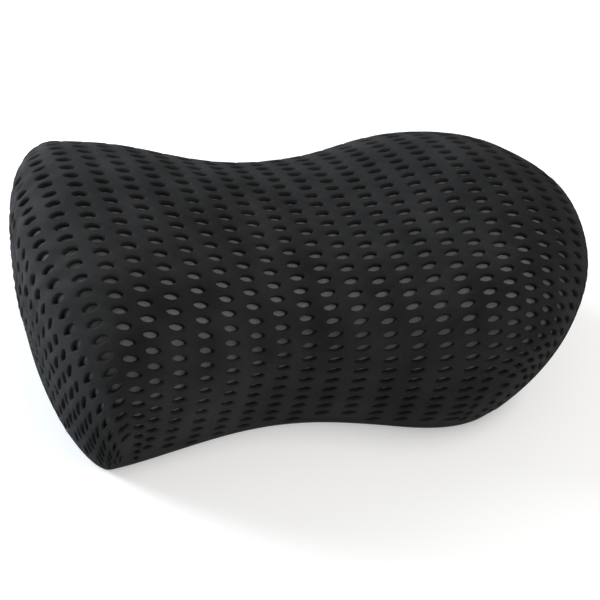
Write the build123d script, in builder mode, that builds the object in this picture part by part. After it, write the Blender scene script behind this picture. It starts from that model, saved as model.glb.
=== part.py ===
from build123d import *
from math import ceil, cos, pi, sin
import os

# Lumbar support cushion: a bone-shaped foam pad in a zipped spacer-mesh cover.
#
# The cushion rests on its back at z = 0, with its crowned front up (+Z) and its
# length along X. The blunt end is at -X and the round end at +X. The zip runs
# along X in the middle of the flat back, in a channel that keeps its slider
# clear of whatever the cushion stands on. All sizes are in millimetres.

# Outer form of the whole cushion
LENGTH = 340.0
WAIST_WIDTH = 158.0
WAIST_STATION = -20.0  # x of the narrowest place
WAIST_HEIGHT = 102.0  # height of the crown at x = 0, its lowest place
WIDEST_HEIGHT = 53.0  # height at which each cross-section is widest
BACK_SHARE = 0.88  # width of the flat back over the full width
SIDE_POWER = 2.0  # squareness of each cross-section sideways; 2 is an ellipse
CROWN_POWER = 2.25  # and squareness up and down

# Each end: the lobe's full width and height, how far from the waist and from the
# middle it reaches them, and the cap that closes it: how far the cap reaches in,
# how square it is, the height it closes to and the size of its last cross-section
BLUNT_END = {
    "width": 206.5,
    "width_reach": 135.5,
    "height": 113.5,
    "height_reach": 112.0,
    "cap_reach": 36.0,
    "cap_power": 1.75,
    "cap_height": 87.0,
    "cap_tip": 0.2,
    "cap_steps": 6,
}
ROUND_END = {
    "width": 202.5,
    "width_reach": 129.5,
    "height": 121.0,
    "height_reach": 135.0,
    "cap_reach": 125.0,
    "cap_power": 2.3,
    "cap_height": 82.5,
    "cap_tip": 0.2,
    "cap_steps": 9,
}

# Layers, from the outside in
COVER_THICKNESS = 3.0
BACK_THICKNESS = 2.4
LINER_THICKNESS = 0.8
LAYER_GAP = 0.3
LINER_INSET = COVER_THICKNESS + LAYER_GAP
FOAM_INSET = LINER_INSET + LINER_THICKNESS + LAYER_GAP

# Zip
SLIT_LENGTH = 268.0
SLIT_WIDTH = 11.6
CHANNEL_LENGTH = 280.0
CHANNEL_WIDTH = 36.0
CHANNEL_TOP = 6.5
CHAIN_GAP = 1.2  # between the two coils, where the slider's post runs
COIL_WIDTH = 2.1
COIL_FLOOR = 3.35
COIL_HEIGHT = 1.4
COIL_ROUNDING = 0.56
TAPE_LENGTH = 278.0
TAPE_FLOOR = 4.2
TAPE_THICKNESS = 0.5
TAPE_OUTER = 16.0  # distance of the tape's outer edge from the zip's centreline
STOP_LENGTH = 2.4
STOP_FLOOR = 3.1
STOP_HEIGHT = 1.9

# Zip slider and its pull
SLIDER_LENGTH = 13.0
SLIDER_WIDTH = 10.0
SLIDER_CORNER = 2.0
SLIDER_FLOOR = 2.3
SLIDER_TOP = 5.9
PLATE_THICKNESS = 0.8
FLANGE_WIDTH = 0.8
FLANGE_HEIGHT = 0.8
POST_WIDTH = 0.6
POST_LENGTH = 2.0
SLIDER_REST = -121.0  # x of the slider with the zip closed
SLIDER_TRAVEL = 234.0  # from closed to open, towards +X
ARCH_LENGTH = 7.0
ARCH_WIDTH = 2.4
ARCH_FLOOR = 0.4
ARCH_BAR = 0.5
ARCH_SLOPE = 75.0  # degrees from level
ARCH_HOLE_LENGTH = 3.6
PIVOT_HEIGHT = 1.6
PIN_RADIUS = 0.5
PULL_LENGTH = 20.0
PULL_WIDTH = 7.0
PULL_THICKNESS = 1.0
PULL_ARM = 1.6
PULL_WINDOW = 4.5  # reach of the opening between the arms, from the pin
PULL_EYE_RADIUS = 1.4
END_PLAY = 0.5  # between the slider at the end of its travel and a stop

# Ends of the coils, set by the slider's travel
STOP_SETBACK = SLIDER_LENGTH / 2 + END_PLAY + STOP_LENGTH / 2
CLOSED_STOP = SLIDER_REST - STOP_SETBACK
OPEN_STOP = SLIDER_REST + SLIDER_TRAVEL + STOP_SETBACK
COIL_START = CLOSED_STOP + STOP_LENGTH / 2
COIL_END = OPEN_STOP - STOP_LENGTH / 2

# Cross-sections of the outer form
BODY_SPACING = 27.0  # at most, from the middle to the start of each cap
SECTION_POINTS = 32
DEEP = 60.0  # reach of a cutting block past whatever it cuts


def blend(distance, reach):
    """Rise smoothly from 0 in the middle to 1 at the reach."""
    share = min(abs(distance) / reach, 1.0)
    return (1.0 - cos(pi * share)) / 2.0


def cap_scale(end, distance, half_length):
    """Return the size of a cross-section this far from the middle, 1 before the cap."""
    depth = (abs(distance) - (half_length - end["cap_reach"])) / end["cap_reach"]
    if depth <= 0.0:
        return 1.0
    power = end["cap_power"]
    tip = end["cap_tip"] ** power
    return (1.0 - (1.0 - tip) * min(depth, 1.0) ** power) ** (1.0 / power)


def section_outline(x, inset):
    """Return the points of one closed cross-section, pulled in by the inset."""
    end = BLUNT_END if x < 0 else ROUND_END
    side = BLUNT_END if x < WAIST_STATION else ROUND_END
    scale = cap_scale(end, x, LENGTH / 2 - inset)
    lobe = blend(x - WAIST_STATION, side["width_reach"])
    crown = blend(x, end["height_reach"])
    half_width = (WAIST_WIDTH + (side["width"] - WAIST_WIDTH) * lobe) / 2 - inset
    rise = WAIST_HEIGHT + (end["height"] - WAIST_HEIGHT) * crown - WIDEST_HEIGHT - inset
    drop = WIDEST_HEIGHT / (1.0 - BACK_SHARE**SIDE_POWER) ** (1.0 / CROWN_POWER)
    points = []
    for step in range(SECTION_POINTS):
        turn = 2 * pi * step / SECTION_POINTS
        across = abs(cos(turn)) ** (2 / SIDE_POWER)
        along = abs(sin(turn)) ** (2 / CROWN_POWER)
        y = half_width * across * (1 if cos(turn) >= 0 else -1)
        z = WIDEST_HEIGHT + (rise * along if sin(turn) >= 0 else -drop * along)
        middle = end["cap_height"]
        points.append((y * scale, middle + (z - middle) * scale))
    return points


def section_stations(inset):
    """List where the cross-sections stand along X, from the blunt tip to the round one."""
    stations = [0.0]
    for end, direction in ((BLUNT_END, -1), (ROUND_END, 1)):
        start = LENGTH / 2 - inset - end["cap_reach"]
        body_steps = ceil(start / BODY_SPACING)
        for step in range(1, body_steps + 1):
            stations.append(direction * start * step / body_steps)
        for step in range(1, end["cap_steps"] + 1):
            depth = sin(pi / 2 * step / end["cap_steps"])
            stations.append(direction * (start + end["cap_reach"] * depth))
    return sorted(stations)


def cushion_form(inset, floor):
    """Make the cushion's outer form, pulled in by the inset and cut flat at the floor."""
    with BuildPart() as form:
        for x in section_stations(inset):
            with BuildSketch(Plane.YZ.offset(x)):
                with BuildLine():
                    Spline(*section_outline(x, inset), periodic=True)
                make_face()
        loft()
        with Locations((0, 0, floor)):
            Box(
                LENGTH + DEEP,
                BLUNT_END["width"] + DEEP,
                ROUND_END["height"] + 2 * DEEP,
                align=(Align.CENTER, Align.CENTER, Align.MIN),
                mode=Mode.INTERSECT,
            )
    return form.part


def save(part, name):
    """Label one finished piece and write it to its own file."""
    part.label = name
    export_step(part, f"parts/{name}.step")


def layer_shell(outer_inset, thickness, floor):
    """Make one soft layer over the front, open at the back."""
    outer_form = cushion_form(outer_inset, floor)
    inner_form = cushion_form(outer_inset + thickness, floor - DEEP)
    with BuildPart() as shell:
        add(outer_form)
        add(inner_form, mode=Mode.SUBTRACT)
    return shell


def back_half(side):
    """Make one half of the cover's back, above or below the zip."""
    whole_form = cushion_form(LINER_INSET, 0.0)
    with BuildPart() as half:
        add(whole_form)
        with Locations((0, side * LAYER_GAP / 2, 0)):
            Box(
                LENGTH,
                BLUNT_END["width"],
                BACK_THICKNESS,
                align=(Align.CENTER, Align.MIN if side > 0 else Align.MAX, Align.MIN),
                mode=Mode.INTERSECT,
            )
        Box(
            SLIT_LENGTH,
            SLIT_WIDTH,
            DEEP,
            mode=Mode.SUBTRACT,
        )
    return half


def stop_block(x, y, width):
    """Make one crimped stop that wraps the coil ends at this place."""
    with Locations((x, y, STOP_FLOOR)):
        Box(
            STOP_LENGTH,
            width,
            STOP_HEIGHT,
            align=(Align.CENTER, Align.CENTER, Align.MIN),
        )


os.makedirs("parts", exist_ok=True)

# Soft layers
mesh_cover_front = layer_shell(0.0, COVER_THICKNESS, 0.0)
save(mesh_cover_front.part, "mesh_cover_front")

back_inside = BACK_THICKNESS + LAYER_GAP
liner_front = layer_shell(LINER_INSET, LINER_THICKNESS, back_inside)
save(liner_front.part, "liner_front")

liner_back_form = cushion_form(FOAM_INSET, back_inside)
channel_outer = LINER_THICKNESS + CHANNEL_TOP

with BuildPart() as liner_back:
    add(liner_back_form)
    Box(
        LENGTH,
        BLUNT_END["width"],
        back_inside + LINER_THICKNESS,
        align=(Align.CENTER, Align.CENTER, Align.MIN),
        mode=Mode.INTERSECT,
    )
    with Locations((0, 0, back_inside)):
        Box(
            CHANNEL_LENGTH + 2 * LINER_THICKNESS,
            CHANNEL_WIDTH + 2 * LINER_THICKNESS,
            channel_outer - back_inside,
            align=(Align.CENTER, Align.CENTER, Align.MIN),
        )
    Box(
        CHANNEL_LENGTH,
        CHANNEL_WIDTH,
        CHANNEL_TOP,
        align=(Align.CENTER, Align.CENTER, Align.MIN),
        mode=Mode.SUBTRACT,
    )
save(liner_back.part, "liner_back")

foam_floor = back_inside + LINER_THICKNESS + LAYER_GAP
foam_form = cushion_form(FOAM_INSET, foam_floor)
with BuildPart() as foam_core:
    add(foam_form)
    Box(
        CHANNEL_LENGTH + 2 * (LINER_THICKNESS + LAYER_GAP),
        CHANNEL_WIDTH + 2 * (LINER_THICKNESS + LAYER_GAP),
        channel_outer + LAYER_GAP,
        align=(Align.CENTER, Align.CENTER, Align.MIN),
        mode=Mode.SUBTRACT,
    )
save(foam_core.part, "foam_core")

# Zip halves: each has a panel, a tape and a coil, above (+Y) or below (-Y)
tape_inner = CHAIN_GAP / 2 + COIL_WIDTH + LAYER_GAP
coil_middle = (CHAIN_GAP + COIL_WIDTH) / 2
for side, place in ((1, "upper"), (-1, "lower")):
    save(back_half(side).part, f"back_panel_{place}")

    with BuildPart() as zip_tape:
        with Locations((0, side * (tape_inner + TAPE_OUTER) / 2, TAPE_FLOOR)):
            Box(
                TAPE_LENGTH,
                TAPE_OUTER - tape_inner,
                TAPE_THICKNESS,
                align=(Align.CENTER, Align.CENTER, Align.MIN),
            )
    save(zip_tape.part, f"zip_tape_{place}")

    with BuildPart() as zip_coil:
        with BuildSketch(Plane.YZ.offset(COIL_START)):
            with Locations((side * coil_middle, COIL_FLOOR + COIL_HEIGHT / 2)):
                RectangleRounded(COIL_WIDTH, COIL_HEIGHT, COIL_ROUNDING)
        extrude(amount=COIL_END - COIL_START)
    save(zip_coil.part, f"zip_coil_{place}")

# The closed end has a stop on each coil; the open end has one across both
with BuildPart() as zip_top_stops:
    for side in (1, -1):
        stop_block(CLOSED_STOP, side * coil_middle, COIL_WIDTH)
save(zip_top_stops.part, "zip_top_stops")

with BuildPart() as zip_bottom_stop:
    stop_block(OPEN_STOP, 0, CHAIN_GAP + 2 * COIL_WIDTH)
save(zip_bottom_stop.part, "zip_bottom_stop")

# Slider: two plates joined by a post, side flanges, and an arch for the pull
with BuildPart() as zip_slider_body:
    for plate_floor in (SLIDER_FLOOR, SLIDER_TOP - PLATE_THICKNESS):
        with BuildSketch(Plane.XY.offset(plate_floor)):
            with Locations((SLIDER_REST, 0)):
                RectangleRounded(SLIDER_LENGTH, SLIDER_WIDTH, SLIDER_CORNER)
        extrude(amount=PLATE_THICKNESS)
    cavity_floor = SLIDER_FLOOR + PLATE_THICKNESS
    cavity_height = SLIDER_TOP - SLIDER_FLOOR - 2 * PLATE_THICKNESS
    flange_y = (SLIDER_WIDTH - FLANGE_WIDTH) / 2
    with Locations(
        (SLIDER_REST, flange_y, cavity_floor),
        (SLIDER_REST, -flange_y, cavity_floor),
    ):
        Box(
            SLIDER_LENGTH - 2 * SLIDER_CORNER,
            FLANGE_WIDTH,
            FLANGE_HEIGHT,
            align=(Align.CENTER, Align.CENTER, Align.MIN),
        )
    with Locations((SLIDER_REST - SLIDER_LENGTH / 2 + POST_LENGTH, 0, cavity_floor)):
        Box(
            POST_LENGTH,
            POST_WIDTH,
            cavity_height,
            align=(Align.CENTER, Align.CENTER, Align.MIN),
        )
    arch_height = SLIDER_FLOOR - ARCH_FLOOR
    with BuildSketch(Plane.XZ.offset(-ARCH_WIDTH / 2)):
        with Locations((SLIDER_REST, ARCH_FLOOR + arch_height / 2)):
            Trapezoid(ARCH_LENGTH, arch_height, ARCH_SLOPE, rotation=180)
        with Locations((SLIDER_REST, SLIDER_FLOOR)):
            Rectangle(
                ARCH_HOLE_LENGTH,
                arch_height - ARCH_BAR,
                align=(Align.CENTER, Align.MAX),
                mode=Mode.SUBTRACT,
            )
    extrude(amount=ARCH_WIDTH)
save(zip_slider_body.part, "zip_slider_body")

# Pull: a pin through the arch, two arms, and a tab with a round end
with BuildPart() as zip_pull_tab:
    with BuildSketch(Plane.XY.offset(PIVOT_HEIGHT - PULL_THICKNESS / 2)):
        with Locations((SLIDER_REST, 0)):
            Rectangle(
                PULL_LENGTH - PULL_WIDTH / 2,
                PULL_WIDTH,
                align=(Align.MIN, Align.CENTER),
            )
        with Locations((SLIDER_REST + PULL_LENGTH - PULL_WIDTH / 2, 0)):
            Circle(PULL_WIDTH / 2)
            Circle(PULL_EYE_RADIUS, mode=Mode.SUBTRACT)
        with Locations((SLIDER_REST, 0)):
            Rectangle(
                2 * PULL_WINDOW,
                PULL_WIDTH - 2 * PULL_ARM,
                mode=Mode.SUBTRACT,
            )
    extrude(amount=PULL_THICKNESS)
    with BuildSketch(Plane.XZ.offset(-PULL_WIDTH / 2)):
        with Locations((SLIDER_REST, PIVOT_HEIGHT)):
            Circle(PIN_RADIUS)
    extrude(amount=PULL_WIDTH)
save(zip_pull_tab.part, "zip_pull_tab")
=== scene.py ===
import math

import bpy
import numpy as np
from mathutils import Matrix, Vector


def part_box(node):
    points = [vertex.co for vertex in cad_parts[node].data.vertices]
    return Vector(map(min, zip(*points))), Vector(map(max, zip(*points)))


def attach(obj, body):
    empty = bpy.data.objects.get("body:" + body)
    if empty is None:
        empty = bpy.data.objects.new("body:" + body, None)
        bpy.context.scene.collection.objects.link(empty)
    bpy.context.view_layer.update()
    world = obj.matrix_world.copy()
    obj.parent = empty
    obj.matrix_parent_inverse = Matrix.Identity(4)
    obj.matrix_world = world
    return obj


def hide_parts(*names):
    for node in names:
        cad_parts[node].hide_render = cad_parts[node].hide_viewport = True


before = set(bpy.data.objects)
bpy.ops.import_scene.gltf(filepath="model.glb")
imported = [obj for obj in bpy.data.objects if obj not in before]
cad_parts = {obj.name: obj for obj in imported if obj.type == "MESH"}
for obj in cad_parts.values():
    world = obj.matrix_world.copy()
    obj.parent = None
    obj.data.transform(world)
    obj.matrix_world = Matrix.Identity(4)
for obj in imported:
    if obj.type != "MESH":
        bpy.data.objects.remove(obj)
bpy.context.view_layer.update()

# Looks of the lumbar support cushion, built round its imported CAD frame, in metres.
# The cover is a spacer mesh: a knit face with long openings in a staggered lattice, over a
# finer knit backing. The lattice's columns follow the cross-sections, and its rows run along
# the length at a steady pitch. Under it lie the flat back with its zip, the liner and the foam.

MM = 0.001

# ---------------------------------------------------------------- sizes, from the frame
cover_low, cover_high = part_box("mesh_cover_front")
HALF_LENGTH = (cover_high.x - cover_low.x) / 2
FULL = HALF_LENGTH / 0.170  # the form below is given for a half length of 170 mm
WAIST_STATION = -0.0203 * FULL
WAIST_HALF_WIDTH = 0.0788 * FULL
WAIST_HEIGHT = 0.1019 * FULL
WIDEST_HEIGHT = 0.0529 * FULL
BACK_SHARE = 0.884
SIDE_POWER = 2.02
CROWN_POWER = 2.25
BLUNT_END = {
    "half_width": 0.1033 * FULL, "width_reach": 0.1354 * FULL,
    "height": 0.1135 * FULL, "height_reach": 0.1121 * FULL,
    "cap_reach": 0.0358 * FULL, "cap_power": 1.73, "cap_height": 0.0873 * FULL, "cap_tip": 0.10,
    "undercut": 0.0067 * FULL, "undercut_top": 0.088 * FULL,
}
ROUND_END = {
    "half_width": 0.1012 * FULL, "width_reach": 0.1293 * FULL,
    "height": 0.1208 * FULL, "height_reach": 0.1351 * FULL,
    "cap_reach": 0.1253 * FULL, "cap_power": 2.29, "cap_height": 0.0823 * FULL, "cap_tip": 0.16,
    "undercut": 0.0075 * FULL, "undercut_top": 0.0524 * FULL,
}
UNDERCUT_START = 0.090 * FULL
UNDERCUT_LENGTH = 0.080 * FULL
BACK_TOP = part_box("back_panel_upper")[1].z
SLIT_HALF_WIDTH = 5.8 * MM
SLIT_HALF_LENGTH = 134 * MM

# ---------------------------------------------------------------- the cushion's form
TINY = 1e-6  # keeps a division away from zero
BODY_SAMPLES = 260
CAP_SAMPLES = 200
V_SAMPLES = 480
TURN_SAMPLES = 700
HALVINGS = 26
LEAN_START = (HALF_LENGTH * 0.66, HALF_LENGTH * 0.45)  # blunt end, then round end
LEAN_STOP = (HALF_LENGTH * 0.86, HALF_LENGTH * 0.76)
LEAN_MOST = math.radians(88)
UNEVEN = 0.7 * MM  # how far the stuffed surface strays from its ideal form
GATHER = 0.5 * MM  # height of the gathers round the blunt end
GATHER_TURNS = 34  # how closely the gathers follow each other round the end
LEAN_POWER = 1.15  # above 1, the lean starts slowly
UNDERCUT_POWER = 1.5
FLOOR_BAND = (4 * MM, 30 * MM)  # the unevenness grows between these heights
BLUNT_BAND = (HALF_LENGTH * 0.80, HALF_LENGTH * 0.93)  # the gathers grow between these lengths


def blend(distance, reach):
    """Rise smoothly from 0 in the middle to 1 at the reach."""
    return (1 - np.cos(np.pi * np.minimum(np.abs(distance) / reach, 1))) / 2


def ramp(value, low, high):
    """Rise smoothly from 0 at low to 1 at high."""
    share = np.clip((value - low) / (high - low), 0, 1)
    return share * share * (3 - 2 * share)


def inside(x, y, z, inset):
    """True where a point is inside the cushion's form."""
    blunt = x < 0

    def of_end(name):
        """A size of the blunt end at -X and of the round end at +X."""
        return np.where(blunt, BLUNT_END[name], ROUND_END[name])

    under = np.clip(1 - z / of_end("undercut_top"), 0, 1) ** UNDERCUT_POWER
    under = under * ramp(np.abs(x), UNDERCUT_START, UNDERCUT_START + UNDERCUT_LENGTH)
    x = x * HALF_LENGTH / (HALF_LENGTH - inset)
    x = x + np.where(blunt, -1, 1) * of_end("undercut") * under
    reach, power = of_end("cap_reach"), of_end("cap_power")
    depth = np.clip((np.abs(x) - (HALF_LENGTH - reach)) / reach, 0, 1)
    scale = (1 - (1 - of_end("cap_tip") ** power) * depth**power) ** (1 / power)
    waistward = x < WAIST_STATION
    lobe_width = np.where(waistward, BLUNT_END["half_width"], ROUND_END["half_width"])
    width_reach = np.where(waistward, BLUNT_END["width_reach"], ROUND_END["width_reach"])
    half_width = WAIST_HALF_WIDTH - inset
    widening = blend(x - WAIST_STATION, width_reach)
    half_width = half_width + (lobe_width - WAIST_HALF_WIDTH) * widening
    rising = blend(x, of_end("height_reach"))
    top = WAIST_HEIGHT - inset + (of_end("height") - WAIST_HEIGHT) * rising
    drop = WIDEST_HEIGHT / (1 - BACK_SHARE**SIDE_POWER) ** (1 / CROWN_POWER)
    middle = of_end("cap_height")
    level = middle + (z - middle) / scale - WIDEST_HEIGHT
    tall = np.where(level >= 0, top - WIDEST_HEIGHT, drop)
    fill = np.abs(y / scale / half_width) ** SIDE_POWER + np.abs(level / tall) ** CROWN_POWER
    return (fill < 1) & (np.abs(x) < HALF_LENGTH)


def stations():
    """Where each arc of the form stands on the floor, and how far it leans outward.

    The arcs are upright along the body, and over each end they lean down to the floor."""
    lean_steps = np.linspace(0, 1, CAP_SAMPLES)[1:]
    body = np.linspace(-LEAN_START[0], LEAN_START[1], BODY_SAMPLES)
    ends = []
    for start, stop in zip(LEAN_START, LEAN_STOP):
        ends.append((start + (stop - start) * lean_steps, LEAN_MOST * lean_steps**LEAN_POWER))
    feet = np.concatenate([-ends[0][0][::-1], body, ends[1][0]])
    lean = np.concatenate([-ends[0][1][::-1], np.zeros(BODY_SAMPLES), ends[1][1]])
    return feet, lean


def uneven(x, y, z):
    """A soft, repeatable unevenness of the stuffed surface, from -1 to 1."""
    total = np.sin(47 * x + 3.1 * np.sin(31 * y + 1.0) + 0.7)
    total += np.sin(53 * y - 2.3 * np.sin(37 * x) + 61 * z)
    total += 0.6 * np.sin(88 * x + 71 * y + 2.0 * np.sin(59 * z))
    return total / 2.6


class Form:
    """The cushion's surface: points by length u along its crown and by share of each arc."""

    def __init__(self, inset=0.0, base=0.0):
        feet, lean = stations()
        turn = np.linspace(0, math.pi, TURN_SAMPLES)
        foot, tilt = feet[:, None], lean[:, None]
        toward = (np.sin(tilt) * np.sin(turn), np.cos(turn), np.cos(tilt) * np.sin(turn))
        near = np.zeros((len(feet), TURN_SAMPLES))
        far = near + 2 * HALF_LENGTH
        for _ in range(HALVINGS):
            middle = (near + far) / 2
            held = inside(foot + toward[0] * middle, toward[1] * middle, toward[2] * middle, inset)
            near = np.where(held, middle, near)
            far = np.where(held, far, middle)
        rays = np.stack([foot + toward[0] * near, toward[1] * near, toward[2] * near], -1)
        grid = np.zeros((len(feet), V_SAMPLES, 3))
        self.girth = np.zeros(len(feet))
        for row, arc in enumerate(rays):
            run = np.concatenate([[0], np.cumsum(np.linalg.norm(np.diff(arc, axis=0), axis=1))])
            even = np.linspace(0, run[-1], V_SAMPLES)
            self.girth[row] = run[-1]
            grid[row] = np.stack([np.interp(even, run, arc[:, k]) for k in range(3)], -1)
        top = grid[:, :, 2].max()
        grid[:, :, 2] = base + grid[:, :, 2] * (top - base) / top
        normal = np.cross(np.gradient(grid, axis=1), np.gradient(grid, axis=0))
        normal /= np.maximum(np.linalg.norm(normal, axis=2, keepdims=True), 1e-12)
        if normal[len(feet) // 2, V_SAMPLES // 2, 2] < 0:
            normal = -normal
        x, y, z = grid[..., 0], grid[..., 1], grid[..., 2]
        off_floor = ramp(z, *FLOOR_BAND)
        blunt = ramp(-x, *BLUNT_BAND)
        pleat = np.sin(np.arctan2(z, y) * GATHER_TURNS + 2 * np.sin(90 * y))
        lift = UNEVEN * uneven(x, y, z) + GATHER * blunt * pleat
        self.points = grid + normal * (lift * off_floor)[..., None]
        self.normals = normal
        step = np.linalg.norm(np.diff(grid, axis=0), axis=2)
        upper = slice(2 * V_SAMPLES // 5, 3 * V_SAMPLES // 5)
        self.run = np.concatenate([[0], np.cumsum(step[:, upper].mean(axis=1))])
        self.length = self.run[-1]

    def girth_at(self, u):
        """Length of the arc at u, from seam to seam."""
        return np.interp(u, self.run, self.girth)

    def at(self, u, share):
        """Points and outward normals at lengths u and shares of the arc."""
        row = np.interp(u, self.run, np.arange(len(self.run)))
        col = np.clip(share, 0, 1) * (V_SAMPLES - 1)
        r0 = np.clip(np.floor(row).astype(int), 0, len(self.run) - 2)
        c0 = np.clip(np.floor(col).astype(int), 0, V_SAMPLES - 2)
        fr = (row - r0)[..., None]
        fc = (col - c0)[..., None]
        out = []
        for table in (self.points, self.normals):
            low = table[r0, c0] * (1 - fc) + table[r0, c0 + 1] * fc
            high = table[r0 + 1, c0] * (1 - fc) + table[r0 + 1, c0 + 1] * fc
            out.append(low * (1 - fr) + high * fr)
        return out


def new_piece(name, vertices, faces, fabric=None):
    """Make a mesh object. fabric gives each vertex its place on the flat cloth."""
    mesh = bpy.data.meshes.new(name)
    mesh.from_pydata([tuple(p) for p in vertices], [], [tuple(f) for f in faces])
    if fabric is not None:
        layer = mesh.attributes.new("fabric", "FLOAT_VECTOR", "POINT")
        flat = np.zeros((len(vertices), 3), np.float32)
        flat[:, :2] = fabric
        layer.data.foreach_set("vector", flat.ravel())
    mesh.polygons.foreach_set("use_smooth", [True] * len(mesh.polygons))
    mesh.update()
    piece = bpy.data.objects.new(name, mesh)
    bpy.context.scene.collection.objects.link(piece)
    return piece


# ---------------------------------------------------------------- the spacer mesh's face
COLUMN_PITCH = 15.3 * MM
ROW_PITCH = 7.9 * MM
BLUNT_STRETCH = 1.16  # the rows spread over the blunt lobe
OPENING_LENGTH = 9.2 * MM
OPENING_HEIGHT = 4.0 * MM
OPENING_POWER = 1.62  # 2 is an ellipse, less is a pointed lens
MESH_DEPTH = 2.6 * MM
BORDER_HEIGHT = -0.10 * MM
OPENING_RINGS = (  # (share of the opening's length and height), height from the surface
    ((1.20, 1.42), 0.28 * MM),
    ((1.04, 1.10), -0.05 * MM),
    ((0.96, 0.94), -0.75 * MM),
    ((0.90, 0.84), -MESH_DEPTH),
)
ROW_SLOPES = ((0, 0.30, 0.47, 0.70, 1), (0.14, 0.14, -0.15, 0.02, 0.02))  # along the length
COLUMN_LEAN = 0.08  # of the columns over the waist
SIDE_STEPS = 4  # vertices along each side of one cell, shared with its neighbours
MOST_GROWTH = 1.35  # of an opening in its cell, where the columns draw together
KEY_STEPS = 2 * SIDE_STEPS  # neighbouring cells share the vertices that round to one step
SEAM_SHARE = 0.004  # of the arc at each seam, where a cell that reaches it stays plain
STRETCH_FROM, STRETCH_OVER = 0.45, 0.30  # of the length, where the blunt lobe's rows spread
SPARE_ROWS = 8  # beyond the widest arc's, because the rows slope
PLAIN_SHARES = (0.6, 0.25)  # rings of a cell with no opening
CROWDED = 0.56  # columns closer than this share of their pitch lose every second opening


def ring_profile():
    """One cell's rings, from its border to the bottom of its opening.

    Each is (points, height); points are in metres from the cell's middle."""
    step = np.arange(SIDE_STEPS) / SIDE_STEPS - 0.5
    edge = np.full(SIDE_STEPS, 0.5)
    sides = ((step, -edge), (edge, step), (-step, edge), (-edge, -step))
    unit = np.concatenate([np.stack(side, -1) for side in sides])
    border = unit * np.array([COLUMN_PITCH, ROW_PITCH])
    turn = np.arctan2(unit[:, 1], unit[:, 0])
    cosine, sine = np.abs(np.cos(turn)), np.abs(np.sin(turn))
    reach = (cosine**OPENING_POWER + sine**OPENING_POWER) ** (-1 / OPENING_POWER)
    lens = np.stack([reach * np.cos(turn), reach * np.sin(turn)], -1)
    lens *= np.array([OPENING_LENGTH, OPENING_HEIGHT]) / 2
    return unit, [
        (border, BORDER_HEIGHT),
        *((lens * np.array(share), height) for share, height in OPENING_RINGS),
    ]


def face_mesh(form):
    """The knit face: a staggered lattice of cells, each a ring mesh round its opening."""
    unit, rings = ring_profile()
    plain_rings = [(rings[0][0] * share, 0.0) for share in PLAIN_SHARES]
    ring_size = len(unit)
    columns = int(round(form.length / COLUMN_PITCH))
    pitch = form.length / columns
    vertices, fabric, faces, shared = [], [], [], {}
    slope = np.interp(np.linspace(0, 1, V_SAMPLES), *ROW_SLOPES)
    drift = np.cumsum(slope) * form.length / V_SAMPLES
    drift -= drift[V_SAMPLES // 2]

    def place(u, across):
        """Point, normal and share at length u and distance across from the crown."""
        across = across + np.interp(u, np.linspace(0, form.length, V_SAMPLES), drift)
        middle = 1 - (2 * u / form.length - 1) ** 2
        u = u + COLUMN_LEAN * across * middle**3
        girth = form.girth_at(u)
        blunt = ramp(STRETCH_FROM - u / form.length, 0, STRETCH_OVER)
        stretch = 1 + (BLUNT_STRETCH - 1) * blunt
        share = 0.5 + across * stretch / girth
        point, normal = form.at(u, share)
        return point, normal, share

    widest = form.girth.max()
    rows = int(widest / 2 / ROW_PITCH) + SPARE_ROWS
    for column in range(columns):
        shift = 0.5 * (column % 2)
        for row in range(-rows, rows + 1):
            u_mid = (column + 0.5) * pitch
            mid = (row + shift) * ROW_PITCH
            corner_u = u_mid + unit[:, 0] * pitch
            corner_v = mid + rings[0][0][:, 1]
            point, normal, share = place(corner_u, corner_v)
            if share.max() <= 0 or share.min() >= 1:
                continue
            keys = []
            for k in range(ring_size):
                key = (round((column + unit[k, 0]) * KEY_STEPS),
                       round((row + shift + unit[k, 1]) * KEY_STEPS))
                if share[k] <= 0 or share[k] >= 1:
                    key = (key[0], "low" if share[k] <= 0 else "high")
                if key not in shared:
                    shared[key] = len(vertices)
                    vertices.append(point[k] + normal[k] * rings[0][1])
                    fabric.append((corner_u[k], corner_v[k]))
                keys.append(shared[key])
            whole = share.min() > SEAM_SHARE and share.max() < 1 - SEAM_SHARE
            if not whole:
                loop = [k for i, k in enumerate(keys) if k != keys[i - 1]]
                if len(set(loop)) > 2:
                    faces.append(list(dict.fromkeys(loop)))
                continue
            sides, _, _ = place(u_mid + np.array([-0.5, 0.5]) * pitch, np.array([mid, mid]))
            room = np.linalg.norm(sides[1] - sides[0]) / pitch
            closed = room < CROWDED and column % 2
            growth = min(1 / room, MOST_GROWTH)
            loops = [keys]
            for outline, height in plain_rings if closed else rings[1:]:
                u = u_mid + outline[:, 0] * (1 if closed else growth) * pitch / COLUMN_PITCH
                v = mid + outline[:, 1]
                point, normal, _ = place(u, v)
                loops.append(list(range(len(vertices), len(vertices) + ring_size)))
                vertices.extend(point + normal * height)
                fabric.extend(zip(u, v))
            for outer, inner in zip(loops, loops[1:]):
                for k in range(ring_size):
                    nxt = (k + 1) % ring_size
                    faces.append((outer[k], outer[nxt], inner[nxt], inner[k]))
            if closed:
                faces.append(loops[-1])
    return vertices, faces, fabric


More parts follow.
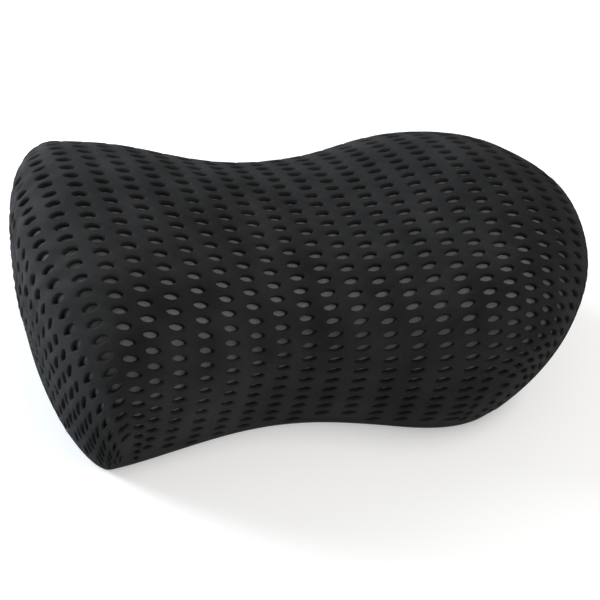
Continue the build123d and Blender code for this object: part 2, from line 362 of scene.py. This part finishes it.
def skin(form, rows, columns):
    """A plain grid over the form, from seam to seam, with a face across each end."""
    u = np.linspace(0, form.length, rows)
    share = np.linspace(0, 1, columns)
    grid_u, grid_v = np.meshgrid(u, share, indexing="ij")
    points, _ = form.at(grid_u, grid_v)
    vertices = points.reshape(-1, 3)
    across = (grid_v - 0.5) * form.girth_at(grid_u)
    fabric = np.stack([grid_u, across], -1).reshape(-1, 2)
    faces = []
    for i in range(rows - 1):
        for j in range(columns - 1):
            a = i * columns + j
            faces.append((a, a + 1, a + columns + 1, a + columns))
    first = list(range(columns))
    last = [(rows - 1) * columns + j for j in range(columns)]
    faces.append(first[::-1])
    faces.append(last)
    return vertices, faces, fabric


# ---------------------------------------------------------------- materials
def start_material(name, colour, roughness, metallic=0.0, sheen=0.0, specular=0.5):
    """A Principled material with its plain numbers set on the shader itself."""
    made = bpy.data.materials.new(name)
    made.use_nodes = True
    nodes, links = made.node_tree.nodes, made.node_tree.links
    shader = nodes["Principled BSDF"]
    shader.inputs["Base Color"].default_value = (*colour, 1)
    shader.inputs["Roughness"].default_value = roughness
    shader.inputs["Metallic"].default_value = metallic
    shader.inputs["Specular IOR Level"].default_value = specular
    shader.inputs["Sheen Weight"].default_value = sheen
    shader.inputs["Sheen Roughness"].default_value = 0.45
    return made, nodes, links, shader


def fabric_place(nodes):
    """The cloth's own coordinates, in metres."""
    place = nodes.new("ShaderNodeAttribute")
    place.attribute_name = "fabric"
    return place.outputs["Vector"]


def wave(nodes, links, vector, direction, scale, distortion):
    """A wave texture of bands across one direction."""
    made = nodes.new("ShaderNodeTexWave")
    made.bands_direction = direction
    made.inputs["Scale"].default_value = scale
    made.inputs["Distortion"].default_value = distortion
    links.new(vector, made.inputs["Vector"])
    return made.outputs["Fac"]


def noise(nodes, links, vector, scale, detail=3.0):
    """A noise texture's value."""
    made = nodes.new("ShaderNodeTexNoise")
    made.inputs["Scale"].default_value = scale
    made.inputs["Detail"].default_value = detail
    links.new(vector, made.inputs["Vector"])
    return made.outputs["Fac"]


def arithmetic(nodes, links, operation, first, second):
    """A math node on two values, each a socket or a number."""
    made = nodes.new("ShaderNodeMath")
    made.operation = operation
    for socket, value in zip(made.inputs, (first, second)):
        if isinstance(value, (int, float)):
            socket.default_value = value
        else:
            links.new(value, socket)
    return made.outputs[0]


def colour_ramp(nodes, links, value, stops):
    """A colour ramp through (position, colour) stops."""
    made = nodes.new("ShaderNodeValToRGB")
    links.new(value, made.inputs["Fac"])
    made.color_ramp.elements[0].position = stops[0][0]
    made.color_ramp.elements[0].color = (*stops[0][1], 1)
    made.color_ramp.elements[1].position = stops[-1][0]
    made.color_ramp.elements[1].color = (*stops[-1][1], 1)
    for position, colour in stops[1:-1]:
        made.color_ramp.elements.new(position).color = (*colour, 1)
    return made.outputs["Color"]


def add_bump(nodes, links, shader, height, distance):
    """Bump from a height value, in metres."""
    made = nodes.new("ShaderNodeBump")
    made.inputs["Distance"].default_value = distance
    made.inputs["Strength"].default_value = 1
    links.new(height, made.inputs["Height"])
    links.new(made.outputs["Normal"], shader.inputs["Normal"])


def knit_height(nodes, links, wale, course):
    """Height of a knit: loops in wales and courses, with a little yarn noise."""
    where = fabric_place(nodes)
    across = wave(nodes, links, where, "X", 1 / wale / 2, 0.6)
    along = wave(nodes, links, where, "Y", 1 / course / 2, 0.6)
    loops = arithmetic(nodes, links, "MULTIPLY", across, along)
    yarn = noise(nodes, links, where, 1 / wale * 1.7)
    yarn = arithmetic(nodes, links, "MULTIPLY", yarn, 0.8)
    return arithmetic(nodes, links, "ADD", loops, yarn)


def object_place(nodes):
    """Coordinates in the object's own frame, in metres."""
    return nodes.new("ShaderNodeTexCoord").outputs["Object"]


def face_knit():
    """Near-black knit polyester of the cover's face."""
    made, nodes, links, shader = start_material(
        "face_knit", (0.02, 0.02, 0.021), 0.8, sheen=0.01, specular=0.08)
    shader.inputs["Sheen Tint"].default_value = (0.75, 0.85, 1.0, 1)
    height = knit_height(nodes, links, 1.1 * MM, 0.9 * MM)
    wear = noise(nodes, links, object_place(nodes), 38, 4.0)
    loops = arithmetic(nodes, links, "MULTIPLY", height, 0.45)
    grain = arithmetic(nodes, links, "ADD", loops, wear)
    shade = colour_ramp(nodes, links, grain, (
        (0.45, (0.0085, 0.0085, 0.0088)),
        (0.72, (0.0150, 0.0150, 0.0153)),
        (1.0, (0.0270, 0.0270, 0.0270))))
    links.new(shade, shader.inputs["Base Color"])
    add_bump(nodes, links, shader, height, 0.22 * MM)
    return made


def backing_knit():
    """Finer, lighter knit behind the openings."""
    made, nodes, links, shader = start_material(
        "backing_knit", (0.06, 0.06, 0.058), 0.36, sheen=0.2, specular=0.9)
    height = knit_height(nodes, links, 0.8 * MM, 0.6 * MM)
    shade = colour_ramp(nodes, links, height, (
        (0.2, (0.018, 0.018, 0.0175)), (1.0, (0.110, 0.110, 0.104))))
    links.new(shade, shader.inputs["Base Color"])
    add_bump(nodes, links, shader, height, 0.12 * MM)
    return made


def woven(name, dark, light, pitch, roughness, sheen):
    """A plain weave in the fabric's own coordinates."""
    made, nodes, links, shader = start_material(name, light, roughness, sheen=sheen, specular=0.3)
    where = fabric_place(nodes)
    across = wave(nodes, links, where, "X", 0.5 / pitch, 0.3)
    along = wave(nodes, links, where, "Y", 0.5 / pitch, 0.3)
    weave = arithmetic(nodes, links, "MULTIPLY", across, along)
    fibre = noise(nodes, links, where, 1.4 / pitch)
    fibre = arithmetic(nodes, links, "MULTIPLY", fibre, 0.7)
    height = arithmetic(nodes, links, "ADD", weave, fibre)
    shade = colour_ramp(nodes, links, height, ((0.2, dark), (1.2, light)))
    links.new(shade, shader.inputs["Base Color"])
    add_bump(nodes, links, shader, height, pitch * 0.25)
    return made


def spun(name, dark, light, grain, roughness, metallic=0.0, specular=0.5, bump=0.03 * MM):
    """A finish whose shade, roughness and bump vary with a fine grain in the object's frame."""
    made, nodes, links, shader = start_material(
        name, light, roughness, metallic, specular=specular)
    where = object_place(nodes)
    fine = noise(nodes, links, where, grain, 5.0)
    broad = noise(nodes, links, where, grain / 12, 2.0)
    both = arithmetic(nodes, links, "ADD", fine, broad)
    mixed = arithmetic(nodes, links, "MULTIPLY", both, 0.5)
    shade = colour_ramp(nodes, links, mixed, ((0.3, dark), (0.7, light)))
    links.new(shade, shader.inputs["Base Color"])
    rough = arithmetic(nodes, links, "MULTIPLY", fine, 0.25)
    rough = arithmetic(nodes, links, "ADD", rough, roughness - 0.12)
    links.new(rough, shader.inputs["Roughness"])
    add_bump(nodes, links, shader, fine, bump)
    return made


def foam_cells():
    """Open-celled memory foam."""
    made, nodes, links, shader = start_material(
        "foam_cells", (0.72, 0.68, 0.58), 0.95, specular=0.1)
    cells = nodes.new("ShaderNodeTexVoronoi")
    cells.inputs["Scale"].default_value = 900
    links.new(object_place(nodes), cells.inputs["Vector"])
    height = cells.outputs["Distance"]
    stops = ((0.0, (0.55, 0.50, 0.40)), (0.6, (0.76, 0.72, 0.62)))
    links.new(colour_ramp(nodes, links, height, stops), shader.inputs["Base Color"])
    add_bump(nodes, links, shader, height, 0.4 * MM)
    return made


def plain_floor():
    """Plain pale floor."""
    made, _, _, shader = start_material("plain_floor", (0.9, 0.9, 0.9), 0.9, specular=0.1)
    shader.inputs["Emission Color"].default_value = (1, 1, 1, 1)
    shader.inputs["Emission Strength"].default_value = 0.22
    return made


def dress(piece, material, body):
    """Give a piece its material and body."""
    piece.data.materials.clear()
    piece.data.materials.append(material)
    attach(piece, body)


# ---------------------------------------------------------------- cover pieces
form = Form()
vertices, faces, fabric = face_mesh(form)
cover = new_piece("spacer_mesh_face", vertices, faces, fabric)
dress(cover, face_knit(), "cushion")
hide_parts("mesh_cover_front")

BACKING_GRID = (150, 120)  # along the length and round the arc
backing = new_piece("spacer_mesh_backing", *skin(Form(MESH_DEPTH), *BACKING_GRID))
dress(backing, backing_knit(), "cushion")

# ---------------------------------------------------------------- the flat back
PANEL_STEPS = 220
SEAM_RADIUS = 0.8 * MM
GROOVE = 0.35 * MM  # how far the stitching pulls the cloth in
GROOVE_HALF = 0.7 * MM
HEM = 4.2 * MM  # from the zip's slit to its row of stitches
EDGE_HEM = 3.6 * MM  # from the cushion's edge to the row of stitches beside it
STITCH_LENGTH = 2.5 * MM
STITCH_PITCH = 3.3 * MM
THREAD_RADIUS = 0.22 * MM
MIDDLE_COLUMNS = 6  # of the panel, between its two rows of stitches
SPLIT = 0.2 * MM  # from the middle line to each half, beyond the zip's slit
FOLD = 0.3 * MM  # width of the rounded fold along a panel's edges
FOLD_RISE = 0.5 * MM
BARTACK_THREADS = 5
BARTACK_PITCH = 0.5 * MM
BARTACK_START = 0.6 * MM  # from the slit's end to the first thread
BARTACK_HALF = 5  # in millimetres, from the middle line to a thread's end
SEAM_STEPS = 801
SEAM_SCALE = 0.9975  # keeps the seam just inside the outline


def even_path(points, count):
    """A path sampled again at even steps."""
    run = np.concatenate([[0], np.cumsum(np.linalg.norm(np.diff(points, axis=0), axis=1))])
    even = np.linspace(0, run[-1], count)
    return np.stack([np.interp(even, run, points[:, k]) for k in range(points.shape[1])], -1)


def floor_outline(form, side, count):
    """The outline of one half of the back on the floor, from the blunt tip to the round tip."""
    middle = V_SAMPLES // 2
    grid = form.points if side > 0 else form.points[:, ::-1]
    path = np.concatenate([grid[0, :middle][::-1], grid[1:-1, 0], grid[-1, :middle]])[:, :2]
    path[:, 1] = side * np.maximum(side * path[:, 1], SPLIT)
    return even_path(path, count)


def panel_half(side):
    """One half of the back: a hemmed panel with its stitching pulled in, flat on the floor."""
    outer = floor_outline(form, side, PANEL_STEPS)
    x = outer[:, 0]
    in_slit = ramp(SLIT_HALF_LENGTH - np.abs(x), -0.5 * MM, 0.5 * MM)
    inner = np.stack([x, side * (SPLIT + (SLIT_HALF_WIDTH - SPLIT) * in_slit)], -1)
    inner[:, 1] = side * np.minimum(side * inner[:, 1], side * outer[:, 1])
    width = np.linalg.norm(outer - inner, axis=1)
    near = [0, FOLD, HEM - GROOVE_HALF, HEM, HEM + GROOVE_HALF]
    far = [EDGE_HEM + GROOVE_HALF, EDGE_HEM, EDGE_HEM - GROOVE_HALF, FOLD, 0]
    shares = [np.minimum(distance / np.maximum(width, TINY), 0.5) for distance in near]
    free = np.clip(1 - 2 * (HEM + GROOVE_HALF) / width, 0, 1)
    for step in range(MIDDLE_COLUMNS):
        shares.append(0.5 + (step - (MIDDLE_COLUMNS - 1) / 2) / MIDDLE_COLUMNS * free)
    shares += [1 - np.minimum(distance / np.maximum(width, TINY), 0.5) for distance in far]
    columns = [inner + (outer - inner) * share[:, None] for share in shares]
    lower = np.zeros(len(columns))
    lower[[0, -1]] = FOLD_RISE
    lower[[len(near) - 2, -4]] = GROOVE
    vertices, fabric = [], []
    for top in (False, True):
        for column, low in zip(columns, lower):
            height = BACK_TOP - low * 0.5 if top else low
            vertices.extend((*point, height) for point in column)
            fabric.extend(column)
    count, rows = len(columns), PANEL_STEPS
    faces = []
    for j in range(count - 1):
        for i in range(rows - 1):
            a, b = j * rows + i, (j + 1) * rows + i
            quad = (a, a + 1, b + 1, b)
            faces.append(quad if side < 0 else quad[::-1])
            shifted = tuple(k + count * rows for k in quad)
            faces.append(shifted[::-1] if side < 0 else shifted)
    for j in (0, count - 1):
        for i in range(rows - 1):
            a, b = j * rows + i, (j + count) * rows + i
            faces.append((a, b, b + 1, a + 1))
    return vertices, faces, fabric


def tube(path, radius, around=8, closed=False):
    """A mesh tube along a 3-D path."""
    path = np.asarray(path)
    if closed:
        along = np.roll(path, -1, axis=0) - np.roll(path, 1, axis=0)
    else:
        along = np.gradient(path, axis=0)
    along /= np.maximum(np.linalg.norm(along, axis=1, keepdims=True), 1e-12)
    side = np.cross(along, (0, 0, 1.0))
    side /= np.maximum(np.linalg.norm(side, axis=1, keepdims=True), 1e-12)
    rise = np.cross(side, along)
    vertices, faces = [], []
    for k in range(around):
        turn = 2 * math.pi * k / around
        vertices.append(path + radius * (math.cos(turn) * side + math.sin(turn) * rise))
    vertices = np.stack(vertices, 1).reshape(-1, 3)
    steps = len(path) if closed else len(path) - 1
    for i in range(steps):
        for k in range(around):
            a, b = i * around + k, i * around + (k + 1) % around
            following = (i + 1) % len(path) * around
            c, d = following + (k + 1) % around, following + k
            faces.append((a, b, c, d))
    if not closed:
        faces.append(list(range(around))[::-1])
        faces.append([steps * around + k for k in range(around)])
    return vertices, faces


def stitches(path, height):
    """Rows of thread on a flat path, each stitch a short arched tube."""
    run = np.concatenate([[0], np.cumsum(np.linalg.norm(np.diff(path, axis=0), axis=1))])
    all_vertices, all_faces = [], []
    start = 0.5 * STITCH_PITCH
    while start + STITCH_LENGTH < run[-1]:
        where = start + STITCH_LENGTH * np.linspace(0, 1, 5)
        arch = height + THREAD_RADIUS * np.array([2.2, 0.6, 0.0, 0.6, 2.2])
        along, across = (np.interp(where, run, path[:, k]) for k in range(2))
        points = np.stack([along, across, arch], -1)
        vertices, faces = tube(points, THREAD_RADIUS, 6)
        all_faces.extend([[k + len(all_vertices) for k in face] for face in faces])
        all_vertices.extend(vertices)
        start += STITCH_PITCH
    return all_vertices, all_faces


def joined(parts):
    """Several meshes as one."""
    vertices, faces = [], []
    for some_vertices, some_faces in parts:
        faces.extend([[k + len(vertices) for k in face] for face in some_faces])
        vertices.extend(some_vertices)
    return vertices, faces


panel_cloth = woven("panel_cloth", (0.010, 0.010, 0.0105), (0.026, 0.026, 0.027),
                    0.7 * MM, 0.75, 0.1)
thread = spun("thread", (0.012, 0.012, 0.013), (0.035, 0.035, 0.036), 4000, 0.6)
thread_rows = []
for side, place in ((1, "upper"), (-1, "lower")):
    panel = new_piece(f"back_cloth_{place}", *panel_half(side))
    dress(panel, panel_cloth, "cushion")
    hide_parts(f"back_panel_{place}")
    slit_row = np.array([[-SLIT_HALF_LENGTH, side * (SLIT_HALF_WIDTH + HEM)],
                         [SLIT_HALF_LENGTH, side * (SLIT_HALF_WIDTH + HEM)]])
    thread_rows.append(stitches(even_path(slit_row, 200), THREAD_RADIUS))
    edge_row = floor_outline(form, side, PANEL_STEPS)
    inward = np.stack([-np.gradient(edge_row[:, 1]), np.gradient(edge_row[:, 0])], -1)
    inward *= -side / np.maximum(np.linalg.norm(inward, axis=1, keepdims=True), 1e-12)
    thread_rows.append(stitches(edge_row + inward * EDGE_HEM, THREAD_RADIUS))
for end in (-1, 1):
    for bar in range(BARTACK_THREADS):
        x = end * (SLIT_HALF_LENGTH + BARTACK_START + BARTACK_PITCH * bar)
        across = np.linspace(-BARTACK_HALF, BARTACK_HALF, 9) * MM
        bar_row = [(x, y, THREAD_RADIUS) for y in across]
        thread_rows.append(tube(bar_row, THREAD_RADIUS, 6))
stitching = new_piece("back_stitching", *joined(thread_rows))
dress(stitching, thread, "cushion")

ring = np.concatenate([floor_outline(form, 1, 400), floor_outline(form, -1, 400)[::-1]])
ring = even_path(np.vstack([ring, ring[:1]]), SEAM_STEPS)[:-1] * SEAM_SCALE
seam_path = np.column_stack([ring, np.full(len(ring), SEAM_RADIUS)])
seam = new_piece("edge_seam", *tube(seam_path, SEAM_RADIUS, 8, closed=True))
dress(seam, thread, "cushion")

# ---------------------------------------------------------------- liner and foam
CHANNEL_HALF = (140 * MM, 18 * MM)
CHANNEL_TOP = 6.5 * MM
LINER_INSET = 3.4 * MM
FOAM_INSET = 4.6 * MM
FLOOR_COLUMNS = 24
PAD_GRID = (110, 90)
LAYER_GAP = 0.3 * MM  # from the cloth of the back to the liner
LINER_THICKNESS = 1.2 * MM
FOAM_GAP = 0.9 * MM  # from the liner's channel to the foam's


def filled(form, rows, columns, base, channel_rise):
    """A closed form: its crowned skin, and a floor with the zip's channel pressed into it."""
    vertices, faces, fabric = skin(form, rows, columns)
    vertices, fabric, faces = list(vertices), list(fabric), faces[:-2]
    strips = []
    for i in range(rows):
        high, low = vertices[i * columns], vertices[(i + 1) * columns - 1]
        strip = [i * columns]
        for k in range(1, FLOOR_COLUMNS):
            point = high + (low - high) * k / FLOOR_COLUMNS
            clear_x = ramp(CHANNEL_HALF[0] - abs(point[0]), -3 * MM, 0)
            clear_y = ramp(CHANNEL_HALF[1] + 2 * MM - abs(point[1]), -6 * MM, 0)
            strip.append(len(vertices))
            vertices.append(np.array([point[0], point[1], base + channel_rise * clear_x * clear_y]))
            fabric.append(point[:2])
        strip.append((i + 1) * columns - 1)
        strips.append(strip)
    for first, second in zip(strips, strips[1:]):
        for k in range(FLOOR_COLUMNS):
            faces.append((first[k], second[k], second[k + 1], first[k + 1]))
    faces.append(list(range(columns))[::-1] + strips[0][1:-1])
    faces.append(list(range((rows - 1) * columns, rows * columns)) + strips[-1][1:-1][::-1])
    return vertices, faces, fabric


liner_base = BACK_TOP + LAYER_GAP
liner_cloth = woven("liner_knit_fine", (0.020, 0.020, 0.020), (0.055, 0.055, 0.053),
                    0.8 * MM, 0.7, 0.15)
liner = new_piece("liner_knit_front", *filled(
    Form(LINER_INSET, liner_base), *PAD_GRID, liner_base, CHANNEL_TOP - liner_base))
dress(liner, liner_cloth, "cushion")
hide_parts("liner_front", "liner_back")

foam_base = liner_base + LINER_THICKNESS
foam = new_piece("foam_block", *filled(
    Form(FOAM_INSET, foam_base), *PAD_GRID, foam_base, CHANNEL_TOP + FOAM_GAP - foam_base))
dress(foam, foam_cells(), "cushion")
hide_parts("foam_core")

# ---------------------------------------------------------------- the zip
COIL_PITCH = 1.3 * MM
WIRE_RADIUS = 0.28 * MM
WIRE_STEPS = 10  # in one turn


def coil(node):
    """A nylon coil wound inside the space of its CAD bar."""
    low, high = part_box(node)
    turns = (high.x - low.x - 2 * WIRE_RADIUS) / COIL_PITCH
    steps = int(turns * WIRE_STEPS)
    turn = np.linspace(0, 2 * math.pi * turns, steps)
    y_half = (high.y - low.y) / 2 - WIRE_RADIUS
    z_half = (high.z - low.z) / 2 - WIRE_RADIUS
    path = np.stack([
        low.x + WIRE_RADIUS + turn / (2 * math.pi) * COIL_PITCH,
        (low.y + high.y) / 2 + y_half * np.cos(turn),
        (low.z + high.z) / 2 + z_half * np.sin(turn)], -1)
    return tube(path, WIRE_RADIUS, 5)


nylon = spun("nylon", (0.010, 0.010, 0.011), (0.024, 0.024, 0.026), 2500, 0.38)
metal = spun("blackened_metal", (0.05, 0.05, 0.052), (0.10, 0.10, 0.105), 1800, 0.36,
             metallic=1.0, bump=0.01 * MM)
tape_weave = spun("tape_weave", (0.008, 0.008, 0.009), (0.028, 0.028, 0.030), 1500, 0.75,
                  specular=0.3, bump=0.12 * MM)
for place in ("upper", "lower"):
    wound = new_piece(f"coil_{place}", *coil(f"zip_coil_{place}"))
    dress(wound, nylon, "cushion")
    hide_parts(f"zip_coil_{place}")

finishes = {
    "zip_tape_upper": tape_weave, "zip_tape_lower": tape_weave,
    "zip_top_stops": metal, "zip_bottom_stop": metal,
    "zip_slider_body": metal, "zip_pull_tab": metal,
}
EDGE_ROUNDING = {"zip_slider_body": 0.16 * MM, "zip_pull_tab": 0.2 * MM,
                 "zip_top_stops": 0.25 * MM, "zip_bottom_stop": 0.25 * MM}
for node, finish in finishes.items():
    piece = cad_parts[node]
    piece.data.materials.clear()
    piece.data.materials.append(finish)
    if node in EDGE_ROUNDING:
        weld = piece.modifiers.new("weld", "WELD")
        weld.merge_threshold = 0.005 * MM
        bevel = piece.modifiers.new("round_edges", "BEVEL")
        bevel.width = EDGE_ROUNDING[node]
        bevel.segments = 2
        bevel.limit_method = "ANGLE"
        bevel.angle_limit = math.radians(40)

# ---------------------------------------------------------------- floor, lights, camera
FLOOR_SIZE = 6
WORLD_STRENGTH = 0.42
LENS = 112.7
SENSOR = 36
SHIFT = (0.0055, -0.0199)
bpy.ops.mesh.primitive_plane_add(size=FLOOR_SIZE, location=(0, 0, 0))
floor = bpy.context.object
floor.name = "floor"
floor.data.materials.append(plain_floor())

world = bpy.data.worlds.new("soft_white")
bpy.context.scene.world = world
world.use_nodes = True
sky = world.node_tree.nodes["Background"]
sky.inputs["Color"].default_value = (1, 1, 1, 1)
sky.inputs["Strength"].default_value = WORLD_STRENGTH

TARGET = Vector((0, 0, 0.040 * FULL))


def area_light(name, away, along, distance, size, power, colour):
    """A soft light that faces the cushion from a direction, its long side along another."""
    data = bpy.data.lights.new(name, "AREA")
    data.shape = "RECTANGLE"
    data.size, data.size_y = size
    data.energy = power
    data.color = colour
    away = Vector(away).normalized()
    across = Vector(along).cross(away).normalized()
    lengthwise = away.cross(across)
    light = bpy.data.objects.new(name, data)
    light.matrix_world = Matrix.Translation(TARGET + away * distance) @ Matrix(
        (across, lengthwise, away)).transposed().to_4x4()
    bpy.context.scene.collection.objects.link(light)


area_light("key_cool", (-0.78, 0.58, 0.36), (0, 1, 0), 1.4, (0.6, 0.9), 34, (0.86, 0.93, 1.0))
area_light("strip", (0.362, -0.30, 0.86), (0, 1, 0), 1.6, (0.22, 1.3), 12, (1.0, 0.98, 0.94))

AZIMUTH, ELEVATION, ROLL = (math.radians(d) for d in (-28.76, 40.88, 15.72))
DISTANCE = 1.106 * FULL
back = Vector((math.sin(AZIMUTH) * math.cos(ELEVATION),
               -math.cos(AZIMUTH) * math.cos(ELEVATION), math.sin(ELEVATION)))
level = Vector((math.cos(AZIMUTH), math.sin(AZIMUTH), 0))
upright = back.cross(level)
right = level * math.cos(ROLL) + upright * math.sin(ROLL)
up = back.cross(right)
camera_data = bpy.data.cameras.new("camera")
camera_data.sensor_width = SENSOR
camera_data.lens = LENS
camera_data.shift_x, camera_data.shift_y = SHIFT
camera = bpy.data.objects.new("camera", camera_data)
camera.matrix_world = Matrix.Translation(TARGET + back * DISTANCE) @ Matrix(
    (right, up, back)).transposed().to_4x4()
bpy.context.scene.collection.objects.link(camera)
bpy.context.scene.camera = camera
bpy.context.scene.view_settings.view_transform = "Standard"
